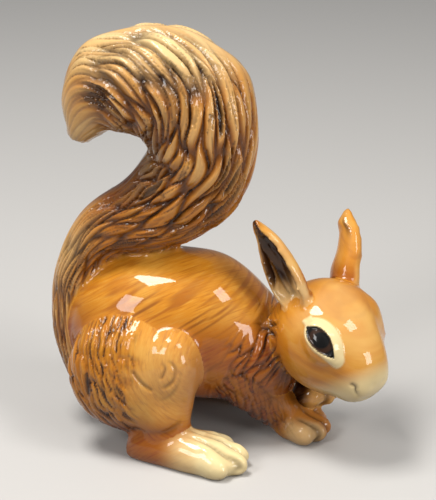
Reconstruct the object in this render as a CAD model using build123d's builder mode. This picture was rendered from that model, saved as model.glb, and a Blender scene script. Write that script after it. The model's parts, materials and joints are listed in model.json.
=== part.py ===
from build123d import *

import os
from math import cos, radians, sin, sqrt

# A glazed slip-cast squirrel, crouching with its brush raised over its back.
# The master model is cut into castings, each cast hollow or solid in its own mould,
# trimmed to the shape of the piece that carries it and luted on with slip.
# Frame: +X the way the body faces, +Y its left, +Z up. The resting plane is Z = 0.
# All lengths are in millimetres.

# Casting
wall = 3.6
vent_radius = 3.5
passage_radius = 2.5
neck_passage_radius = 8.0

# Torso: an egg lying along X
torso_length = 92.0
torso_width = 56.0
torso_height = 61.0
torso_mid_height = 45.0

# Head: turned towards the squirrel's right and bowed
head_length = 52.0
head_width = 44.5
head_height = 41.0
head_turn_angle = 40.0
head_bow_angle = 22.0
eye_length = 18.0
eye_height = 12.5
eye_depth = 7.6

# Ears
ear_length = 36.0
ear_width = 14.5
ear_depth = 10.0
ear_rim = 2.4

# Tail brush
tail_rise = 152.0
tail_sweep = 53.0
tail_thickness = 46.0
tail_width = 44.0

# Haunches
haunch_length = 48.0
haunch_height = 49.0
haunch_thickness = 30.0
knee_width = 22.0
knee_height = 34.0
shank_width = 20.0
shank_length = 34.0

# Hind feet
foot_length = 46.0
foot_width = 21.0
foot_height = 14.0
foot_splay_angle = 12.0
hind_toe_length = 17.0
hind_toe_width = 9.0
hind_toe_height = 11.0

# Forelegs
foreleg_thickness = 19.0
paw_length = 21.0
paw_width = 19.0
paw_height = 12.0
fore_toe_length = 14.0
fore_toe_width = 7.6
fore_toe_height = 10.0

# Stations of a rounded form: distance from its middle as shares of its half length
round_shares = (-0.985, -0.9, -0.7, -0.4, 0.0, 0.4, 0.7, 0.9, 0.985)

up = Vector(0, 0, 1)
quarter_turn_angle = 90.0


def stacked(stations, straight=False):
    """One solid through elliptical stations, each (plane, half size in x, half size in y).

    It runs smoothly through them, or straight from each to the next.
    """
    with BuildPart() as form:
        for plane, half_x, half_y in stations:
            with BuildSketch(plane):
                Ellipse(half_x, half_y)
        loft(ruled=straight)
    return form.part


def inset(stations):
    """The stations of the hollow that lies one wall inside a form."""
    return [
        (plane, half_x - wall, half_y - wall)
        for plane, half_x, half_y in stations
        if min(half_x, half_y) > 2 * wall
    ]


def egg(plane, size_x, size_y, size_z):
    """Stations of a rounded form about a plane's origin, given its full sizes."""
    return [
        (plane.offset(share * size_z / 2), size_x / 2 * sqrt(1 - share**2), size_y / 2 * sqrt(1 - share**2))
        for share in round_shares
    ]


def turned(heading, rise):
    """The direction at a heading from +X in the resting plane and at an angle above it."""
    return Vector(
        cos(radians(rise)) * cos(radians(heading)),
        cos(radians(rise)) * sin(radians(heading)),
        sin(radians(rise)),
    )


# Torso form. Shares: along the length, rise of the middle, width, height
torso_origin_share = 0.65
torso_shares = (
    (0.000, 0.00, 0.18, 0.18),
    (0.030, 0.00, 0.45, 0.42),
    (0.100, 0.00, 0.73, 0.70),
    (0.220, 0.00, 0.92, 0.92),
    (0.380, 0.01, 1.00, 1.00),
    (0.550, 0.01, 0.98, 0.99),
    (0.700, -0.02, 0.90, 0.94),
    (0.830, -0.10, 0.77, 0.78),
    (0.930, -0.17, 0.60, 0.56),
    (0.985, -0.20, 0.34, 0.31),
    (1.000, -0.21, 0.14, 0.13),
)


def torso_point(along, across, rise):
    """A point in shares of the torso: its length from the rear, half width and height from the middle."""
    return Vector(
        (along - torso_origin_share) * torso_length,
        across * torso_width / 2,
        torso_mid_height + rise * torso_height,
    )


torso_stations = [
    (
        Plane(torso_point(along, 0, rise), x_dir=(0, 1, 0), z_dir=(1, 0, 0)),
        width * torso_width / 2,
        height * torso_height / 2,
    )
    for along, rise, width, height in torso_shares
]
torso_form = stacked(torso_stations)
torso_hollow = stacked(inset(torso_stations))

# Tail form, in the plane Y = 0. Shares: reach and rise from its root, then after the heading in degrees
# its thickness and width
tail_root_share = (0.09, 0, -0.52)
tail_shares = (
    (0.08, 0.000, 118, 0.10, 0.20),
    (0.00, 0.036, 112, 0.26, 0.46),
    (-0.10, 0.118, 100, 0.34, 0.55),
    (-0.14, 0.250, 90, 0.36, 0.52),
    (-0.06, 0.375, 66, 0.39, 0.54),
    (0.13, 0.464, 42, 0.50, 0.64),
    (0.45, 0.513, 34, 0.70, 0.80),
    (0.69, 0.576, 46, 0.85, 0.91),
    (0.83, 0.645, 70, 0.89, 0.98),
    (0.86, 0.717, 96, 0.93, 1.00),
    (0.80, 0.790, 122, 1.00, 1.00),
    (0.64, 0.849, 150, 1.00, 0.98),
    (0.39, 0.865, 172, 0.91, 0.89),
    (0.20, 0.849, 188, 0.79, 0.77),
    (0.08, 0.822, 210, 0.66, 0.61),
    (0.00, 0.770, 238, 0.41, 0.43),
    (-0.05, 0.728, 246, 0.22, 0.25),
)
tail_root = torso_point(*tail_root_share)


def tail_plane(reach, rise, heading):
    """The cross-section plane of the brush at a station, with x across the brush in its own plane."""
    along = Vector(cos(radians(heading)), 0, sin(radians(heading)))
    at = tail_root + Vector(reach * tail_sweep, 0, rise * tail_rise)
    return Plane(at, x_dir=along.cross(Vector(0, 1, 0)), z_dir=along)


tail_stations = [
    (tail_plane(reach, rise, heading), thickness * tail_thickness / 2, width * tail_width / 2)
    for reach, rise, heading, thickness, width in tail_shares
]
tail_form = stacked(tail_stations)
tail_hollow = stacked(inset(tail_stations), straight=True)

# Head form. Shares: along the head from the nape, rise of the middle, width, height
head_shares = (
    (0.000, 0.00, 0.16, 0.16),
    (0.035, 0.00, 0.42, 0.42),
    (0.120, 0.00, 0.70, 0.72),
    (0.270, 0.00, 0.93, 0.93),
    (0.430, 0.00, 1.00, 1.00),
    (0.580, 0.00, 0.95, 0.97),
    (0.720, 0.00, 0.80, 0.85),
    (0.840, -0.01, 0.60, 0.68),
    (0.930, -0.03, 0.46, 0.52),
    (0.980, -0.04, 0.30, 0.33),
    (1.000, -0.04, 0.14, 0.14),
)
nape_share = (0.955, 0.146, 0.185)
head_forward = turned(-head_turn_angle, -head_bow_angle)
head_left = turned(quarter_turn_angle - head_turn_angle, 0)
head_up = head_forward.cross(head_left)
head_nape = torso_point(*nape_share)


def head_point(along, across, rise):
    """A point in shares of the head: its length from the nape, its half width and its half height."""
    return (
        head_nape
        + head_forward * (along * head_length)
        + head_left * (across * head_width / 2)
        + head_up * (rise * head_height / 2)
    )


head_stations = [
    (
        Plane(head_point(along, 0, 2 * rise), x_dir=head_left, z_dir=head_forward),
        width * head_width / 2,
        height * head_height / 2,
    )
    for along, rise, width, height in head_shares
]
head_hollow = stacked(inset(head_stations))

# Eyes with their lids, as low mounds on the cheeks
eye_share = (0.60, 0.73, 0.49)
eye_outward_shares = (0.30, 0.74, 0.60)
eye_slant_shares = (0.80, 0.20, -0.25)


def head_direction(forward, left, rise):
    return head_forward * forward + head_left * left + head_up * rise


def eye_stations(side):
    along, across, rise = eye_share
    forward, out, lift = eye_outward_shares
    outward = head_direction(forward, side * out, lift)
    forward, out, lift = eye_slant_shares
    plane = Plane(
        head_point(along, side * across, rise),
        x_dir=head_direction(forward, side * out, lift),
        z_dir=outward,
    )
    return egg(plane, eye_length, eye_height, eye_depth)


with BuildPart() as head_master:
    add(stacked(head_stations))
    add(stacked(eye_stations(-1)))
    add(stacked(eye_stations(1)))
head_form = head_master.part

# Ear forms. Shares: along the ear, width, depth
ear_shares = (
    (-0.12, 0.74, 0.70),
    (0.06, 0.95, 0.90),
    (0.25, 1.05, 1.00),
    (0.45, 0.98, 0.95),
    (0.65, 0.78, 0.80),
    (0.82, 0.52, 0.58),
    (0.94, 0.30, 0.36),
    (1.00, 0.12, 0.14),
)
right_ear_axis_shares = (-0.68, -0.22, 0.70)
left_ear_axis_shares = (-0.68, 0.38, 0.70)
ear_mouth_shares = (0.20, 0.90, 0.15)
right_ear_share = (0.245, -0.605, 0.68)
left_ear_share = (0.26, 0.68, 0.43)
scoop_least_share = 3


def ear_stations(base_share, axis_shares, side, rim):
    """An ear's outside with no rim, or with one the scoop that leaves the rim standing."""
    axis = head_direction(*axis_shares).normalized()
    forward, out, rise = ear_mouth_shares
    mouth = head_direction(forward, side * out, rise)
    base = Plane(head_point(*base_share), x_dir=mouth.cross(axis), z_dir=axis)
    return [
        (
            Plane(
                base.offset(along * ear_length).origin + base.y_dir * rim,
                x_dir=base.x_dir,
                z_dir=axis,
            ),
            width * ear_width / 2 - rim,
            depth * ear_depth / 2,
        )
        for along, width, depth in ear_shares
        if width * ear_width > scoop_least_share * rim
    ]


# Right hind leg forms
thigh_share = (0.30, -0.86, -0.19)
thigh_pitch_angle = 12.0
knee_share = (0.50, -1.00, -0.12)
shank_share = (0.475, -1.00)
shank_rise_share = 0.606
shank_pitch_angle = 75.0


def thigh_stations():
    plane = Plane(torso_point(*thigh_share), x_dir=(0, 1, 0), z_dir=turned(0, thigh_pitch_angle))
    return egg(plane, haunch_thickness, haunch_height, haunch_length)


def knee_stations():
    plane = Plane(torso_point(*knee_share), x_dir=(0, 1, 0), z_dir=up)
    return egg(plane, knee_width, knee_width, knee_height)


def shank_stations():
    above = torso_point(*shank_share, 0)
    middle = Vector(above.X, above.Y, shank_rise_share * shank_length)
    plane = Plane(middle, x_dir=(0, 1, 0), z_dir=turned(0, shank_pitch_angle))
    return egg(plane, shank_width, shank_width, shank_length)


# Right hind foot form. Shares: along the foot from the heel, width, height
heel_share = (0.30, -0.96)
foot_shares = (
    (0.00, 0.20, 0.30),
    (0.03, 0.42, 0.62),
    (0.12, 0.62, 0.88),
    (0.30, 0.76, 1.00),
    (0.55, 0.94, 1.00),
    (0.75, 1.00, 0.90),
    (0.88, 0.90, 0.72),
    (0.95, 0.60, 0.45),
)
sole_share = 0.38
# Toes. Shares: along the foot and across it, from the inner edge outwards, then the turn in degrees
hind_toe_shares = (
    (0.72, -0.80, -34),
    (0.88, -0.42, -14),
    (0.92, 0.12, 4),
    (0.80, 0.62, 18),
)


def on_ground(point, height):
    """A point's place on the plan, at the height where a form this high sinks a little under the ground."""
    return Vector(point.X, point.Y, sole_share * height)


def foot_plane(along, across, turn, height):
    """A cross-section plane of the foot, with y up and z towards the toes."""
    forward = turned(-foot_splay_angle, 0)
    outward = turned(-foot_splay_angle - quarter_turn_angle, 0)
    toe_forward = turned(-foot_splay_angle - turn, 0)
    at = torso_point(*heel_share, 0) + forward * (along * foot_length) + outward * (across * foot_width / 2)
    return Plane(on_ground(at, height), x_dir=up.cross(toe_forward), z_dir=toe_forward)


def foot_stations():
    return [
        (
            foot_plane(along, 0, 0, height * foot_height),
            width * foot_width / 2,
            (1 - sole_share) * height * foot_height,
        )
        for along, width, height in foot_shares
    ]


def hind_toe_stations(along, across, turn):
    plane = foot_plane(along, across, turn, hind_toe_height)
    return egg(plane, hind_toe_width, hind_toe_height, hind_toe_length)


# Foreleg forms. Shares: along the leg from the shoulder to the wrist, thickness
foreleg_shares = (
    (-0.15, 0.70),
    (0.00, 0.98),
    (0.30, 1.06),
    (0.60, 0.94),
    (0.85, 0.80),
    (1.02, 0.58),
    (1.08, 0.25),
)
# The wrist from the paw's middle. Shares: back along the paw, up its height
wrist_share = (-0.28, 0.22)
# Toes. Shares: across the paw and along it, then the turn in degrees
fore_toe_shares = (
    (-0.70, 0.14, -24),
    (-0.24, 0.30, -8),
    (0.24, 0.30, 8),
    (0.70, 0.14, 24),
)


def foreleg_forms(shoulder, paw, heading, dip):
    """A leg from its shoulder to its paw's middle, with the paw and its four toes."""
    forward = turned(heading, -dip)
    left = turned(heading + quarter_turn_angle, 0)
    back, rise = wrist_share
    leg = paw + forward * (back * paw_length) + up * (rise * paw_height) - shoulder
    leg_plane = Plane(shoulder, x_dir=leg.cross(up), z_dir=leg)
    forms = [
        [
            (
                leg_plane.offset(along * leg.length),
                thickness * foreleg_thickness / 2,
                thickness * foreleg_thickness / 2,
            )
            for along, thickness in foreleg_shares
        ],
        egg(Plane(paw, x_dir=left, z_dir=forward), paw_width, paw_height, paw_length),
    ]
    for across, along, turn in fore_toe_shares:
        at = paw + left * (across * paw_width / 2) + forward * (along * paw_length)
        toe_left = turned(heading + turn + quarter_turn_angle, 0)
        plane = Plane(at, x_dir=toe_left, z_dir=turned(heading + turn, -dip))
        forms.append(egg(plane, fore_toe_width, fore_toe_height, fore_toe_length))
    return [stacked(form) for form in forms]


right_shoulder_share = (0.73, -0.50, -0.21)
right_paw_share = (1.008, -0.12)
right_paw_turn_angle = -14.0
left_shoulder_share = (0.82, 0.50, -0.26)
left_paw_share = (1.04, 0.32, -0.46)
left_paw_turn_angle = -20.0
left_paw_dip_angle = 12.0

# Openings through the torso's wall: the vent under the belly and the ways into the hollow castings
vent_share = (0.50, 0, 0)
neck_share = (0.80, 0, -0.05)
skull_share = (0.40, 0, 0)
tail_passage_share = (0.15, 0, 0.02)
haunch_passage_share = (0.30, 0, -0.19)

# Castings
with BuildPart() as torso:
    add(torso_form)
    add(torso_hollow, mode=Mode.SUBTRACT)
    with BuildSketch(Plane(torso_point(*vent_share))):
        Circle(vent_radius)
    extrude(amount=-torso_height, mode=Mode.SUBTRACT)
    neck_middle = torso_point(*neck_share)
    with BuildSketch(Plane(neck_middle, z_dir=head_point(*skull_share) - neck_middle)):
        Circle(neck_passage_radius)
    extrude(amount=torso_height / 2, mode=Mode.SUBTRACT)
    with BuildSketch(Plane(torso_point(*tail_passage_share), z_dir=(-1, 0, 0))):
        Circle(passage_radius)
    extrude(amount=torso_height / 2, mode=Mode.SUBTRACT)
    with BuildSketch(Plane(torso_point(*haunch_passage_share), z_dir=(0, 1, 0))):
        Circle(passage_radius)
    extrude(amount=torso_width, both=True, mode=Mode.SUBTRACT)

with BuildPart() as head:
    add(head_form)
    add(torso_form, mode=Mode.SUBTRACT)
    add(head_hollow, mode=Mode.SUBTRACT)

with BuildPart() as tail:
    add(tail_form)
    add(torso_form, mode=Mode.SUBTRACT)
    add(tail_hollow, mode=Mode.SUBTRACT)

with BuildPart() as ear_right:
    add(stacked(ear_stations(right_ear_share, right_ear_axis_shares, -1, 0)))
    add(stacked(ear_stations(right_ear_share, right_ear_axis_shares, -1, ear_rim)), mode=Mode.SUBTRACT)
    add(head_form, mode=Mode.SUBTRACT)

with BuildPart() as ear_left:
    add(stacked(ear_stations(left_ear_share, left_ear_axis_shares, 1, 0)))
    add(stacked(ear_stations(left_ear_share, left_ear_axis_shares, 1, ear_rim)), mode=Mode.SUBTRACT)
    add(head_form, mode=Mode.SUBTRACT)

with BuildPart() as haunch:
    add(stacked(thigh_stations()))
    add(stacked(knee_stations()))
    add(stacked(shank_stations()))
haunch_form = haunch.part

with BuildPart() as haunch_right:
    add(haunch_form)
    add(torso_form, mode=Mode.SUBTRACT)
    add(tail_form, mode=Mode.SUBTRACT)
    add(stacked(inset(thigh_stations())), mode=Mode.SUBTRACT)
    split(bisect_by=Plane.XY, keep=Keep.TOP)

with BuildPart() as haunch_left:
    add(haunch_right.part.mirror(Plane.XZ))

with BuildPart() as hind_foot_right:
    add(stacked(foot_stations()))
    for along, across, turn in hind_toe_shares:
        add(stacked(hind_toe_stations(along, across, turn)))
    add(haunch_form, mode=Mode.SUBTRACT)
    add(torso_form, mode=Mode.SUBTRACT)
    split(bisect_by=Plane.XY, keep=Keep.TOP)

with BuildPart() as hind_foot_left:
    add(hind_foot_right.part.mirror(Plane.XZ))

with BuildPart() as foreleg_right:
    right_paw = on_ground(torso_point(*right_paw_share, 0), paw_height)
    add(foreleg_forms(torso_point(*right_shoulder_share), right_paw, right_paw_turn_angle, 0))
    add(torso_form, mode=Mode.SUBTRACT)
    add(head_form, mode=Mode.SUBTRACT)
    split(bisect_by=Plane.XY, keep=Keep.TOP)

with BuildPart() as foreleg_left:
    left_paw = torso_point(*left_paw_share)
    add(foreleg_forms(torso_point(*left_shoulder_share), left_paw, left_paw_turn_angle, left_paw_dip_angle))
    add(torso_form, mode=Mode.SUBTRACT)
    add(head_form, mode=Mode.SUBTRACT)
    add(foreleg_right.part, mode=Mode.SUBTRACT)

castings = {
    "torso": torso,
    "head": head,
    "ear_right": ear_right,
    "ear_left": ear_left,
    "tail": tail,
    "haunch_right": haunch_right,
    "haunch_left": haunch_left,
    "hind_foot_right": hind_foot_right,
    "hind_foot_left": hind_foot_left,
    "foreleg_right": foreleg_right,
    "foreleg_left": foreleg_left,
}

# The origin is moved to the middle of the whole figure's plan, on the resting plane
boxes = [casting.part.bounding_box() for casting in castings.values()]
middle_x = (min(box.min.X for box in boxes) + max(box.max.X for box in boxes)) / 2
middle_y = (min(box.min.Y for box in boxes) + max(box.max.Y for box in boxes)) / 2

os.makedirs("parts", exist_ok=True)
for name, casting in castings.items():
    piece = casting.part.moved(Pos(-middle_x, -middle_y, 0))
    piece.label = name
    export_step(piece, f"parts/{name}.step")
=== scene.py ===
import json
from math import cos, pi, radians, sin

import bmesh
import bpy
import numpy as np
from bpy.props import FloatProperty, FloatVectorProperty, IntProperty, PointerProperty
from mathutils import Matrix, Vector
from mathutils.bvhtree import BVHTree

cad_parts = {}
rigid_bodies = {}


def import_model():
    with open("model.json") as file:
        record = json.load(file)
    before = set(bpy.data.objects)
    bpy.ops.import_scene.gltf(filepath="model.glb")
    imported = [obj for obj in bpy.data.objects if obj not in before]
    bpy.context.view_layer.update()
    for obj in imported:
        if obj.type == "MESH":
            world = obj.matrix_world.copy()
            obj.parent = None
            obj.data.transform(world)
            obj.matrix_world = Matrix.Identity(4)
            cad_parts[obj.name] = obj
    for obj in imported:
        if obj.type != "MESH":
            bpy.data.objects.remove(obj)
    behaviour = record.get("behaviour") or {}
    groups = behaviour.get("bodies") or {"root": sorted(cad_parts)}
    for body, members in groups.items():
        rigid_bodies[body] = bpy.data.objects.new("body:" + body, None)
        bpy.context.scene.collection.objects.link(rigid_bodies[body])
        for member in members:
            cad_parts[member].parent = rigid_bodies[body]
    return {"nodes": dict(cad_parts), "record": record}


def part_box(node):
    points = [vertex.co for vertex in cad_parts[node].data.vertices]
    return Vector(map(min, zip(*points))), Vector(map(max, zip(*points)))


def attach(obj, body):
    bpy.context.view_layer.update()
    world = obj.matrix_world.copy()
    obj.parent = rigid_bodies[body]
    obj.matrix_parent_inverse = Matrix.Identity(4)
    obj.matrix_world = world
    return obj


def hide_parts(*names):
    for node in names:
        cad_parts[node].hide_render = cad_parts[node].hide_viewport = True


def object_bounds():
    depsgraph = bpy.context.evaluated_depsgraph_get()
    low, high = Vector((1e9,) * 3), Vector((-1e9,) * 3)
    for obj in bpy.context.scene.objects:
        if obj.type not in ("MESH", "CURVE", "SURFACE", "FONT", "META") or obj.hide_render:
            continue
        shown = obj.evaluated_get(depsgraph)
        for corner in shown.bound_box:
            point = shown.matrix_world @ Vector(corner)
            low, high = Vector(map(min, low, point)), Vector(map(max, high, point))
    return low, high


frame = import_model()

bl_info = {
    "name": "Glazed squirrel",
    "version": (1, 0, 0),
    "blender": (4, 5, 0),
    "location": "3D View > Sidebar > Squirrel",
    "description": "Models, cuts, glazes and lights a slip-cast squirrel from its castings",
    "category": "Object",
}

# Sculpting is done in millimetres, and the scene is in metres
MM = 0.001
cad_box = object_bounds()
slots = {row["node"]: row["material_slot"] for row in frame["record"]["subparts"]}
castings = tuple(slots)

# What is painted on the clay, each a share from 0 to 1 at every vertex
PAINTS = ("groove", "cream", "russet", "shade", "eye", "iris")
# Where a vertex lies across and along the strokes of the paint brush, in millimetres
STROKES = ("across", "along")


def pair(name):
    """The right and the left of two like castings."""
    return f"{name}_right", f"{name}_left"


def srgb(red, green, blue):
    """A colour as the eye reads it, in steps of 255, as the linear colour that a socket takes."""
    return tuple(((step / 255 + 0.055) / 1.055) ** 2.4 for step in (red, green, blue))


# Sizes and colours that a user would change


class SquirrelClay(bpy.types.PropertyGroup):
    """The master model that the castings are cut from."""

    grain: FloatProperty(
        name="Grain", description="Edge of the clay's first, coarse net", default=1.1 * MM, unit="LENGTH"
    )
    swell: FloatProperty(
        name="Swell", description="How far castings run into each other", default=0.12 * MM, unit="LENGTH"
    )
    seam_passes: IntProperty(name="Seam passes", description="How long the seams are smoothed", default=14)
    lock_depth: FloatProperty(
        name="Lock depth", description="Depth of the grooves of the brush", default=1.5 * MM, unit="LENGTH"
    )
    fur_depth: FloatProperty(
        name="Fur depth", description="Depth of the strokes on the haunches", default=0.9 * MM, unit="LENGTH"
    )


class SquirrelGlaze(bpy.types.PropertyGroup):
    """The colours under the clear glaze."""

    amber: FloatVectorProperty(
        name="Amber", description="Body colour", default=srgb(206, 134, 34), subtype="COLOR"
    )
    honey: FloatVectorProperty(
        name="Honey", description="Thin body colour", default=srgb(220, 164, 70), subtype="COLOR"
    )
    russet: FloatVectorProperty(
        name="Russet", description="Brushed shading", default=srgb(146, 70, 20), subtype="COLOR"
    )
    # Umber lays the dark grooves and streaks, and also the painted shade in the ear hollows, under the tip,
    # on the forelegs and under the raised paw
    umber: FloatVectorProperty(
        name="Umber", description="Colour that pools in grooves", default=srgb(46, 21, 8), subtype="COLOR"
    )
    cream: FloatVectorProperty(
        name="Cream", description="Pale slip", default=srgb(238, 215, 160), subtype="COLOR"
    )
    pupil: FloatVectorProperty(
        name="Pupil", description="Dark of the eyes", default=srgb(6, 4, 3), subtype="COLOR"
    )
    iris: FloatVectorProperty(
        name="Iris", description="Ring round the pupil", default=srgb(52, 30, 15), subtype="COLOR"
    )
    gloss: FloatProperty(
        name="Gloss", description="Roughness of the clear coat", default=0.03, subtype="FACTOR", min=0, max=1
    )


class SquirrelStage(bpy.types.PropertyGroup):
    """The floor, the light and the camera."""

    floor: FloatVectorProperty(
        name="Floor", description="Floor colour", default=srgb(198, 196, 193), subtype="COLOR"
    )
    bounce: FloatVectorProperty(
        name="Bounce", description="Colour of the floor's light on the squirrel", default=srgb(110, 106, 100),
        subtype="COLOR"
    )
    key: FloatProperty(name="Key", description="Power of the window overhead", default=6.8, unit="POWER")
    fill: FloatProperty(name="Fill", description="Power of the other windows", default=4.3, unit="POWER")
    room: FloatProperty(name="Room", description="Brightness of the room", default=0.24)


# Noise and patterns


def scatter(column, row, seed):
    """A repeatable random share for each cell of a lattice."""
    mixed = column.astype(np.int64) * 374761393 + row.astype(np.int64) * 668265263 + seed * 974634749
    mixed &= 0xFFFFFFFF
    mixed = ((mixed ^ (mixed >> 13)) * 1274126177) & 0xFFFFFFFF
    return (mixed ^ (mixed >> 16)) / 0xFFFFFFFF


def smooth(low, high, value):
    """0 up to low, 1 from high, and an easy rise between them."""
    share = np.clip((value - low) / (high - low), 0, 1)
    return share * share * (3 - 2 * share)


def ripple(across, along, seed):
    """Smooth noise from -1 to 1, with features one unit wide."""
    column, row = np.floor(across), np.floor(along)
    x = smooth(0, 1, across - column)
    y = smooth(0, 1, along - row)
    low = scatter(column, row, seed) * (1 - x) + scatter(column + 1, row, seed) * x
    high = scatter(column, row + 1, seed) * (1 - x) + scatter(column + 1, row + 1, seed) * x
    return 2 * (low * (1 - y) + high * y) - 1


# How far a tuft strays from the middle of its cell, and how blunt its ends are
STRAY = 0.85
TAPER = 0.75


def tufts(across, along, seed):
    """Long cells with tapering ends, one unit each way.

    Returns how far inside its cell a point lies, the cell's own share, and how far along the cell it is.
    """
    column, row = np.floor(across), np.floor(along)
    nearest = np.full(across.shape, np.inf)
    second = nearest.copy()
    share = np.zeros(across.shape)
    lead = np.zeros(across.shape)
    for aside in (-1, 0, 1):
        for ahead in (-1, 0, 1):
            at_column, at_row = column + aside, row + ahead
            middle = at_column + 0.5 + STRAY * (scatter(at_column, at_row, seed) - 0.5)
            further = along - at_row - 0.5 - STRAY * (scatter(at_column, at_row, seed + 1) - 0.5)
            away = np.hypot(across - middle, TAPER * further)
            closer = away < nearest
            second = np.where(closer, nearest, np.minimum(second, away))
            share = np.where(closer, scatter(at_column, at_row, seed + 2), share)
            lead = np.where(closer, further, lead)
            nearest = np.where(closer, away, nearest)
    return second - nearest, share, lead


def strands(across, along, seed, wander):
    """Tufts that wander from side to side on their way."""
    slow = ripple(across / 3, along * 1.3, seed + 7)
    quick = ripple(across, along * 2.6, seed + 8)
    return tufts(across + wander * slow + wander / 2 * quick, along, seed)


def pits(bold, stand):
    """1 in the few tufts that are sunk instead of raised."""
    return smooth(0.84, 0.86, stand) * smooth(0.25, 0.5, bold)


def line(away, width):
    """1 on a line and 0 beyond about twice its width."""
    return np.exp(-((away / width) ** 2))


def spline(points, steps):
    """A smooth curve through points, in even steps from each to the next."""
    path = np.array(points)
    ends = np.vstack((2 * path[0] - path[1], path, 2 * path[-1] - path[-2]))
    rows = []
    for first, start, end, last in zip(ends[:-3], ends[1:-2], ends[2:-1], ends[3:]):
        slope = end - first
        turn = 2 * first - 5 * start + 4 * end - last
        twist = 3 * (start - end) + last - first
        for share in np.arange(steps) / steps:
            rows.append(start + 0.5 * (slope * share + turn * share**2 + twist * share**3))
    return np.array(rows + [path[-1]])


# The clay

# Steps from each point of a crease to the next
CREASE_STEPS = 10


class Clay:
    """The soft master model: one closed mesh in millimetres, with what is painted on each vertex."""

    def __init__(self, mesh, reach):
        self.mesh = mesh
        count = len(mesh.vertices)
        self.edges = read(mesh.edges, "vertices", 2, np.int32)
        self.neighbours = np.maximum(np.bincount(self.edges.ravel(), minlength=count), 1)
        self.at = read(mesh.vertices, "co", 3) / MM
        self.reach = reach
        self.paint = {name: np.zeros(count) for name in PAINTS + STROKES}
        self.refresh()

    def refresh(self):
        """Works the normals out again after the clay has moved."""
        self.mesh.vertices.foreach_set("co", (self.at * MM).astype(np.float32).ravel())
        self.mesh.update()
        self.out = read(self.mesh.vertices, "normal", 3)

    def around(self, values):
        """The mean of a value over each vertex's neighbours."""
        first, last = self.edges.T
        count = len(self.at)
        total = np.bincount(first, values[last], count) + np.bincount(last, values[first], count)
        return total / self.neighbours

    def mean(self):
        """The middle of each vertex's neighbours."""
        return np.stack([self.around(values) for values in self.at.T], axis=1)

    def blur(self, share, passes):
        """Evens a share out over neighbouring vertices."""
        for _ in range(passes):
            share = 0.5 * share + 0.5 * self.around(share)
        return share

    def relax(self, passes, strength):
        """Smooths the clay, by a strength that may differ from vertex to vertex."""
        strength = np.broadcast_to(strength, len(self.at))[:, None]
        for _ in range(passes):
            self.at += strength * (self.mean() - self.at)
        self.refresh()

    def push(self, amount, direction=None):
        """Moves the clay outwards by an amount in millimetres, or along one direction."""
        self.at += np.asarray(amount)[:, None] * (self.out if direction is None else direction)
        self.refresh()

    def brush(self, name, share):
        """Adds paint where there is less of it."""
        self.paint[name] = np.maximum(self.paint[name], np.clip(share, 0, 1))

    def wipe(self, name, share):
        """Takes paint off."""
        self.paint[name] *= 1 - np.clip(share, 0, 1)

    def stroke(self, names, across, along):
        """Sets the way that the paint brush goes over these castings."""
        for name, place in zip(STROKES, (across, along)):
            self.paint[name] = np.where(self.owned(names), place, self.paint[name])

    def owned(self, names):
        """True on these castings."""
        return np.isin(self.reach.argmin(1), [castings.index(name) for name in names])

    def inside(self, names, fade):
        """1 on these castings, falling to 0 at their seams over a distance in millimetres."""
        mine = [index for index, name in enumerate(castings) if name in names]
        rest = [index for index, name in enumerate(castings) if name not in names]
        return smooth(0, fade, self.reach[:, rest].min(1) - self.reach[:, mine].min(1))

    def gap(self, name):
        """Millimetres from each vertex to a casting."""
        return self.reach[:, castings.index(name)]

    def away(self, point):
        """Millimetres from each vertex to a point."""
        return np.linalg.norm(self.at - point, axis=1)

    def whole(self, pick, values):
        """The values of the picked vertices, with 0 for all the rest."""
        every = np.zeros(len(self.at))
        every[pick] = values
        return every

    def crease(self, points, width, depth):
        """Presses a curve into the clay that fades at both ends. Returns its share of the full depth."""
        path = spline(points, CREASE_STEPS)
        share = np.linspace(0, 1, len(path))
        fade = smooth(0, 0.12, share) * smooth(1, 0.88, share)
        middle = path.mean(0)
        size = np.linalg.norm(path - middle, axis=1).max() + 3 * width
        near = np.nonzero(self.away(middle) < size)[0]
        gap = np.linalg.norm(self.at[near, None] - path[None], axis=2)
        mark = self.whole(near, line(gap.min(1), width) * fade[gap.argmin(1)])
        self.push(-depth * mark)
        return mark

    def dent(self, middle, radius, depth):
        """Presses a thumb into the clay, or out of it. Returns its share of the full depth."""
        hollow = line(self.away(middle), radius)
        self.push(-depth * hollow)
        return hollow


def read(items, name, width, kind=np.float32):
    """One property of a mesh's elements as rows of numbers."""
    values = np.empty(len(items) * width, kind)
    items.foreach_get(name, values)
    return (values if kind == np.int32 else values.astype(float)).reshape(-1, width)


def merged_copy(node):
    """A casting's own mesh, copied, with its loose triangles merged."""
    bm = bmesh.new()
    bm.from_mesh(frame["nodes"][node].data)
    bmesh.ops.remove_doubles(bm, verts=bm.verts, dist=MM / 1000)
    return bm


# Half sizes of the core, and the distance past which a casting counts as far away
CORE_HALF = (36.0, 26.0, 28.5)
FAR = 9.0


def torso_core():
    """A core that fills the torso's hollow and leaves only the mouth of the kiln vent open."""
    middle = (Vector(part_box("torso")[0]) + Vector(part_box("torso")[1])) / 2
    core = bmesh.new()
    bmesh.ops.create_uvsphere(
        core,
        u_segments=48,
        v_segments=24,
        radius=MM,
        matrix=Matrix.Translation(middle) @ Matrix.Diagonal((*CORE_HALF, 1)),
    )
    return core


def wet_castings(swell):
    """All castings together, each swollen a little so that it runs into the next, and the hollow filled."""
    together = torso_core()
    trees = []
    for name in castings:
        bm = merged_copy(name)
        trees.append(BVHTree.FromBMesh(bm))
        mesh = bpy.data.meshes.new(name)
        bm.to_mesh(mesh)
        bm.free()
        at = read(mesh.vertices, "co", 3) + swell * read(mesh.vertices, "normal", 3)
        mesh.vertices.foreach_set("co", at.astype(np.float32).ravel())
        together.from_mesh(mesh)
        bpy.data.meshes.remove(mesh)
    return together, trees


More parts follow.
